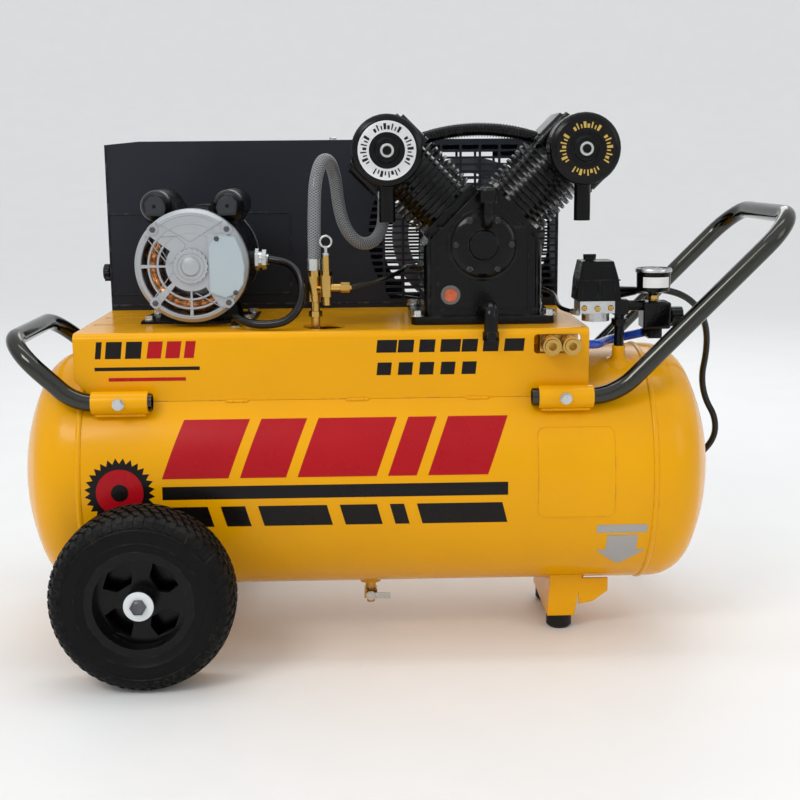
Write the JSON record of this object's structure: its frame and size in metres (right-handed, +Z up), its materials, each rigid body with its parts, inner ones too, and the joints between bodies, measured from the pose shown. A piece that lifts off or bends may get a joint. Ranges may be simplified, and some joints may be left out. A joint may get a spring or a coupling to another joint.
{
  "type": "air compressor",
  "caption": "Wheeled air compressor: horizontal tank with belt-driven twin-cylinder pump, electric motor, belt guard, gauge, outlets and two tubular handles.",
  "frame": {"origin": "on the floor under the middle of the whole machine, measured without the power cord", "axes": "+X from the wheels to the push handle, +Y from the outlet side to the belt guard, +Z up"},
  "size_m": [1.12, 0.72, 0.7645],
  "materials": {
    "yellow_paint": "gloss enamel",
    "black_rubber": "matte",
    "zinc_plate": "satin plating",
    "rim_plastic": "satin",
    "tyre_rubber": "matte",
    "black_chrome": "dark mirror plating",
    "charcoal_sheet": "fine matte texture",
    "motor_black": "semi gloss",
    "cast_aluminium": "as cast, satin",
    "steel_core": "satin",
    "grey_iron": "machined",
    "black_iron": "gloss black enamel on casting",
    "piston_aluminium": "machined",
    "black_plastic": "moulded",
    "sight_red": "clear bezel",
    "brass": "machined",
    "braided_hose": "clear with braid",
    "blue_hose": "gloss",
    "black_jacket": "satin jacket",
    "black_fittings": "gloss",
    "needle_red": "matte"
  },
  "bodies": {
    "machine": {"axle_brackets": "yellow_paint", "axle_fasteners": "zinc_plate", "bearing_covers": "black_iron", "blue_hose": "blue_hose", "capacitor_covers": "motor_black", "check_valve": "brass", "couplers": "brass", "crankcase": "black_iron", "crossover_pipe": "black_iron", "cylinder_heads": "black_iron", "cylinders": "black_iron", "discharge_hose": "braided_hose", "drain_valve": "brass", "drive_belt": "black_rubber", "filter_caps": "black_plastic", "filter_housings": "black_plastic", "foot_bracket": "yellow_paint", "gauge_case": "black_fittings", "guard_back_cover": "charcoal_sheet", "guard_front_panel": "charcoal_sheet", "handle_sockets": "yellow_paint", "hose_fittings": "zinc_plate", "lift_handle": "black_chrome", "manifold": "black_fittings", "motor_cord": "black_jacket", "motor_end_bells": "cast_aluminium", "motor_shell": "motor_black", "motor_stator": "steel_core", "mounting_bolts": "zinc_plate", "oil_fittings": "black_iron", "power_cord_coil": "black_jacket", "power_cord_run": "black_jacket", "power_plug": "black_jacket", "push_handle": "black_chrome", "rubber_feet": "black_rubber", "saddle": "yellow_paint", "safety_valve": "brass", "sight_glass": "sight_red", "switch_base": "zinc_plate", "switch_cover": "black_plastic", "tank_heads": "yellow_paint", "tank_shell": "yellow_paint", "unloader_tube": "black_jacket"},
    "near_wheel": {"near_wheel_rim": "rim_plastic", "near_wheel_tyre": "tyre_rubber"},
    "far_wheel": {"far_wheel_rim": "rim_plastic", "far_wheel_tyre": "tyre_rubber"},
    "crank": {"crankshaft": "grey_iron", "flywheel": "grey_iron"},
    "motor_spindle": {"motor_rotor": "steel_core", "motor_pulley": "grey_iron"},
    "left_piston": {"left_piston": "piston_aluminium"},
    "right_piston": {"right_piston": "piston_aluminium"},
    "relief_ring": {"safety_ring": "zinc_plate"},
    "on_off_knob": {"switch_knob": "black_plastic"},
    "pressure_knob": {"regulator_knob": "black_plastic"},
    "needle": {"gauge_needle": "needle_red"},
    "left_sleeve": {"left_coupler_sleeve": "brass"},
    "right_sleeve": {"right_coupler_sleeve": "brass"},
    "drain_lever": {"drain_handle": "zinc_plate"}
  },
  "joints": [
    {"name": "near_wheel_spin", "type": "hinge", "parent": "machine", "child": "near_wheel", "pos_m": [-0.3535, -0.262, 0.125], "axis": [0, 1, 0], "continuous": true},
    {"name": "far_wheel_spin", "type": "hinge", "parent": "machine", "child": "far_wheel", "pos_m": [-0.3535, 0.262, 0.125], "axis": [0, 1, 0], "continuous": true},
    {"name": "crank_spin", "type": "hinge", "parent": "machine", "child": "crank", "pos_m": [0.1205, 0.21, 0.5775], "axis": [0, 1, 0], "continuous": true},
    {"name": "motor_spin", "type": "hinge", "parent": "machine", "child": "motor_spindle", "pos_m": [-0.298, 0.21, 0.5522], "axis": [0, 1, 0], "continuous": true},
    {"name": "left_piston_slide", "type": "slide", "parent": "machine", "child": "left_piston", "axis": [-0.7071, 0, 0.7071], "range_m": [-0.022, 0.022]},
    {"name": "right_piston_slide", "type": "slide", "parent": "machine", "child": "right_piston", "axis": [0.7071, 0, 0.7071], "range_m": [-0.022, 0.022]},
    {"name": "relief_ring_pull", "type": "slide", "parent": "machine", "child": "relief_ring", "axis": [0, 0, 1], "range_m": [0, 0.003], "stiffness_N_per_m": 600, "springref_m": -0.002},
    {"name": "on_off_turn", "type": "hinge", "parent": "machine", "child": "on_off_knob", "pos_m": [0.273, -0.073, 0.55], "axis": [0, 0, 1], "range_deg": [0, 90]},
    {"name": "pressure_knob_turn", "type": "hinge", "parent": "machine", "child": "pressure_knob", "pos_m": [0.4, -0.07, 0.471], "axis": [1, 0, 0], "range_deg": [-720, 720]},
    {"name": "needle_turn", "type": "hinge", "parent": "machine", "child": "needle", "pos_m": [0.367, -0.07, 0.538], "axis": [0, 0, 1], "range_deg": [-270, 0]},
    {"name": "left_sleeve_pull", "type": "slide", "parent": "machine", "child": "left_sleeve", "axis": [0, 1, 0], "range_m": [0, 0.004], "stiffness_N_per_m": 800, "springref_m": -0.002},
    {"name": "right_sleeve_pull", "type": "slide", "parent": "machine", "child": "right_sleeve", "axis": [0, 1, 0], "range_m": [0, 0.004], "stiffness_N_per_m": 800, "springref_m": -0.002},
    {"name": "drain_lever_turn", "type": "hinge", "parent": "machine", "child": "drain_lever", "pos_m": [-0.048, -0.018, 0.037], "axis": [0, 1, 0], "range_deg": [0, 90]}
  ],
  "couplings": [
    {"joint": "motor_spin", "follows": "crank_spin", "ratio": 3.8065}
  ]
}
